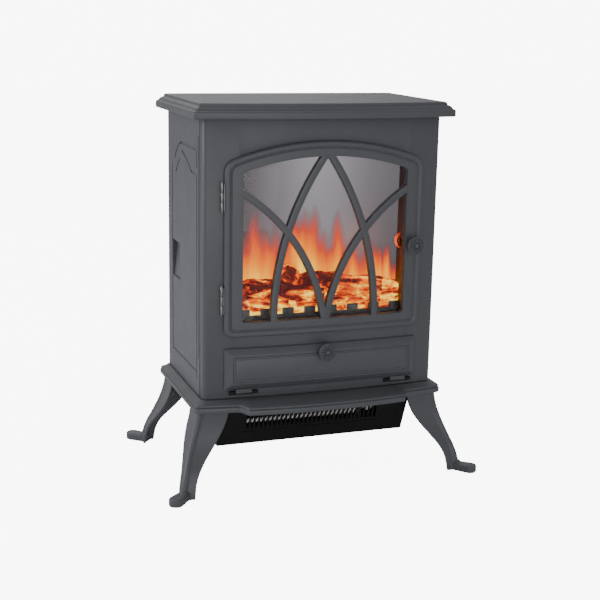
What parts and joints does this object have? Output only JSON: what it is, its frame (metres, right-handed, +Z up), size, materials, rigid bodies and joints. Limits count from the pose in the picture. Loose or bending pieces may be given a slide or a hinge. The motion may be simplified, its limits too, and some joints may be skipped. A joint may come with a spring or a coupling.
{
  "type": "electric fireplace",
  "caption": "Free-standing electric stove heater with lattice door over a log and flame effect, drop-down control flap, fan heater under the base, on curved legs.",
  "frame": {"origin": "centre of the footprint of the four feet, on the floor plane", "axes": "+Z up, +X to the stove's right as seen from the front, the door faces -Y"},
  "size_m": [0.5096, 0.3326, 0.5905],
  "materials": {
    "stove_paint": "satin dark grey powder-textured paint",
    "back_sheet": "dark grey painted sheet",
    "black_paint": "satin black paint",
    "bright_steel": "zinc plated",
    "black_plastic": "moulded black",
    "red_plastic": "translucent red rocker",
    "door_glass": "clear",
    "knob_backing": "amber magnet holder",
    "firebox_black": "matt black",
    "flame_film": "grey diffusing sheet lit by a flame pattern",
    "ember_resin": "painted translucent log moulding",
    "fender_stone": "grey cast look",
    "circuit_board": "white lacquer",
    "cream_plastic": "cream moulding",
    "foil_steel": "bright foil and plated steel",
    "mica": "mica board",
    "heating_alloy": "bright resistance ribbon",
    "fan_aluminium": "plain aluminium",
    "bearing_bronze": "sintered bronze"
  },
  "bodies": {
    "cabinet": {"top_slab": "stove_paint", "front_fascia": "stove_paint", "left_side_panel": "stove_paint", "right_side_panel": "stove_paint", "base_plate": "stove_paint", "leg_front_left": "stove_paint", "leg_front_right": "stove_paint", "leg_back_left": "stove_paint", "leg_back_right": "stove_paint", "back_cover": "back_sheet", "heater_housing": "black_paint", "outlet_grille": "black_paint", "flap_hinge_bracket_left": "black_paint", "flap_hinge_bracket_right": "black_paint", "hinge_bracket_lower": "bright_steel", "hinge_bracket_upper": "bright_steel", "hinge_pin_lower": "bright_steel", "hinge_pin_upper": "bright_steel", "flap_hinge_pin_left": "bright_steel", "flap_hinge_pin_right": "bright_steel", "leg_bolt_front_left": "bright_steel", "leg_bolt_front_right": "bright_steel", "leg_bolt_back_left": "bright_steel", "leg_bolt_back_right": "bright_steel", "cable_gland": "black_plastic", "control_panel": "black_plastic", "door_magnet": "knob_backing", "firebox_liner": "firebox_black", "fire_surround": "firebox_black", "flame_screen": "flame_film", "log_bed": "ember_resin", "log_fender": "fender_stone", "led_board": "circuit_board", "thermostat_body": "cream_plastic", "thermal_cutout": "cream_plastic", "terminal_block": "cream_plastic", "spinner_bearing": "cream_plastic", "spinner_motor": "foil_steel", "element_frame": "mica", "element_ribbon": "heating_alloy", "fan_scroll": "fan_aluminium", "fan_motor": "fan_aluminium", "fan_bearing": "bearing_bronze"},
    "door": {"door_frame": "stove_paint", "door_glass": "door_glass", "door_knob": "stove_paint", "door_hinge_leaf_lower": "bright_steel", "door_hinge_leaf_upper": "bright_steel"},
    "flap": {"control_flap": "stove_paint", "flap_knob": "stove_paint"},
    "flame_rocker": {"flame_switch": "black_plastic"},
    "low_heat_rocker": {"low_heat_switch": "red_plastic"},
    "high_heat_rocker": {"high_heat_switch": "red_plastic"},
    "thermostat": {"thermostat_dial": "black_plastic"},
    "fan": {"fan_rotor": "fan_aluminium"},
    "spinner": {"flame_spinner": "foil_steel"}
  },
  "joints": [
    {"name": "door_swing", "type": "hinge", "parent": "cabinet", "child": "door", "pos_m": [-0.1624, -0.1126, 0.3895], "axis": [0, 0, -1], "range_deg": [0, 110]},
    {"name": "flap_drop", "type": "hinge", "parent": "cabinet", "child": "flap", "pos_m": [0, -0.1144, 0.1544], "axis": [1, 0, 0], "range_deg": [0, 85]},
    {"name": "flame_rocker_press", "type": "hinge", "parent": "cabinet", "child": "flame_rocker", "pos_m": [-0.096, -0.087, 0.1935], "axis": [-1, 0, 0], "range_deg": [0, 14]},
    {"name": "low_heat_rocker_press", "type": "hinge", "parent": "cabinet", "child": "low_heat_rocker", "pos_m": [-0.052, -0.087, 0.1935], "axis": [-1, 0, 0], "range_deg": [0, 14]},
    {"name": "high_heat_rocker_press", "type": "hinge", "parent": "cabinet", "child": "high_heat_rocker", "pos_m": [-0.008, -0.087, 0.1935], "axis": [-1, 0, 0], "range_deg": [0, 14]},
    {"name": "thermostat_turn", "type": "hinge", "parent": "cabinet", "child": "thermostat", "pos_m": [0.092, -0.096, 0.1935], "axis": [0, -1, 0], "range_deg": [0, 270]},
    {"name": "fan_spin", "type": "hinge", "parent": "cabinet", "child": "fan", "pos_m": [-0.017, -0.022, 0.092], "axis": [1, 0, 0], "continuous": true},
    {"name": "flame_spinner_spin", "type": "hinge", "parent": "cabinet", "child": "spinner", "pos_m": [-0.008, 0.026, 0.292], "axis": [1, 0, 0], "continuous": true}
  ]
}
